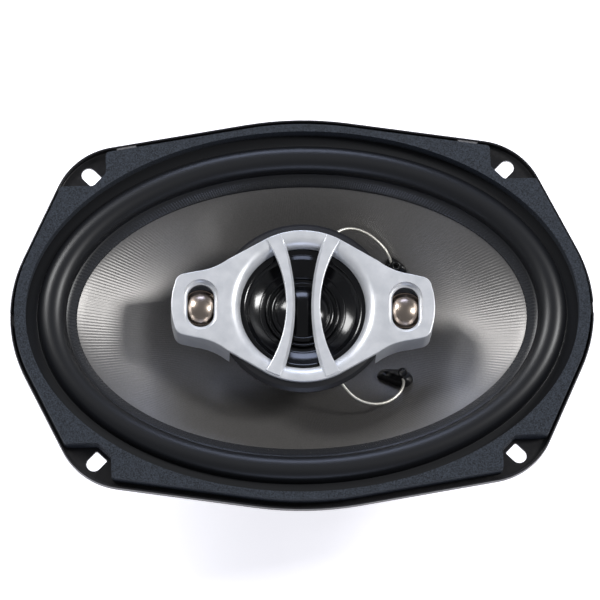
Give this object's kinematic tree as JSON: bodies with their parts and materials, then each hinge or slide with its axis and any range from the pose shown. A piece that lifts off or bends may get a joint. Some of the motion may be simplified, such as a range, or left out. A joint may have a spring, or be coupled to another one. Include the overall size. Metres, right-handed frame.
{
  "type": "coaxial car speaker",
  "caption": "Oval coaxial car loudspeaker: pressed steel basket, sprung cone in a rubber surround, and a post-mounted silver pod with a midrange and side tweeters.",
  "frame": {"origin": "centre of the flange's flat rear face, which sits on the mounting panel", "axes": "+Z out of the front of the speaker, +X along the oval's long axis, +Y along its short axis, away from the lower long side; the terminals are on the +Y side"},
  "size_m": [0.237, 0.1656, 0.0885],
  "materials": {
    "basket_paint": "black satin enamel on pressed steel",
    "gasket_foam": "dark blue-grey closed-cell foam, matt with a fine speckle",
    "surround_rubber": "satin black butyl rubber",
    "cone_mica": "metallic warm grey mica-filled polypropylene, satin, fine radial ridges",
    "spider_cloth": "resin-dipped cotton, yellow-brown, corrugated",
    "former_aluminium": "thin rolled foil",
    "winding_copper": "enamelled copper wire",
    "seal_felt": "black felt",
    "black_glue": "cured black adhesive, semi-gloss",
    "plated_steel": "zinc-plated steel",
    "ferrite": "dark grey sintered ferrite",
    "boot_rubber": "black moulded rubber, matt",
    "board_phenolic": "brown phenolic board",
    "terminal_brass": "bright brass",
    "terminal_tin": "tin plate",
    "capacitor_sleeve": "dark blue shrink sleeve",
    "black_abs": "black moulded ABS, satin",
    "silver_paint": "ABS with satin silver lacquer",
    "neodymium": "nickel-plated magnet",
    "gloss_black": "glossy black film",
    "dome_titanium": "champagne titanium-coated film, polished",
    "tinsel_braid": "braided silver tinsel"
  },
  "bodies": {
    "chassis": {"basket": "basket_paint", "crossover_capacitor": "capacitor_sleeve", "front_gasket": "gasket_foam", "lead_grommets": "boot_rubber", "magnet_boot": "boot_rubber", "magnet_ring": "ferrite", "mid_frame": "black_abs", "mid_magnet": "neodymium", "mid_pole_plate": "plated_steel", "mid_surround": "gloss_black", "mid_yoke": "plated_steel", "plate_rivets": "plated_steel", "pod_bezel": "silver_paint", "pod_cup": "black_abs", "pod_post": "black_abs", "post_nut_pod": "plated_steel", "post_nut_rear": "plated_steel", "post_washer": "plated_steel", "spider": "spider_cloth", "surround": "surround_rubber", "terminal_board": "board_phenolic", "terminal_negative": "terminal_tin", "terminal_positive": "terminal_brass", "terminal_rivets": "terminal_tin", "tinsel_lead_lower": "tinsel_braid", "tinsel_lead_upper": "tinsel_braid", "top_plate": "plated_steel", "tweeter_frame_left": "black_abs", "tweeter_frame_right": "black_abs", "tweeter_magnet_left": "neodymium", "tweeter_magnet_right": "neodymium", "tweeter_pot_left": "plated_steel", "tweeter_pot_right": "plated_steel", "wing_back_left": "silver_paint", "wing_back_right": "silver_paint", "yoke": "plated_steel"},
    "woofer": {"cone": "cone_mica", "voice_coil_former": "former_aluminium", "voice_coil_winding": "winding_copper", "dust_seal": "seal_felt", "lead_anchor_upper": "black_glue", "lead_anchor_lower": "black_glue", "cone_eyelets": "plated_steel"},
    "midrange": {"mid_cone": "gloss_black", "mid_coil": "winding_copper", "mid_ring": "gloss_black", "mid_dome": "gloss_black"},
    "tweeter_left": {"tweeter_dome_left": "dome_titanium"},
    "tweeter_right": {"tweeter_dome_right": "dome_titanium"}
  },
  "joints": [
    {"name": "woofer_excursion", "type": "slide", "parent": "chassis", "child": "woofer", "axis": [0, 0, 1], "range_m": [-0.006, 0.006], "stiffness_N_per_m": 2800, "deforming": ["surround", "spider", "tinsel_lead_upper", "tinsel_lead_lower"]},
    {"name": "midrange_excursion", "type": "slide", "parent": "chassis", "child": "midrange", "axis": [0, 0, 1], "range_m": [-0.001, 0.001], "stiffness_N_per_m": 1500, "deforming": ["mid_surround"]},
    {"name": "tweeter_left_excursion", "type": "slide", "parent": "chassis", "child": "tweeter_left", "axis": [0, 0, 1], "range_m": [-0.0003, 0.0003], "stiffness_N_per_m": 1200},
    {"name": "tweeter_right_excursion", "type": "slide", "parent": "chassis", "child": "tweeter_right", "axis": [0, 0, 1], "range_m": [-0.0003, 0.0003], "stiffness_N_per_m": 1200}
  ]
}
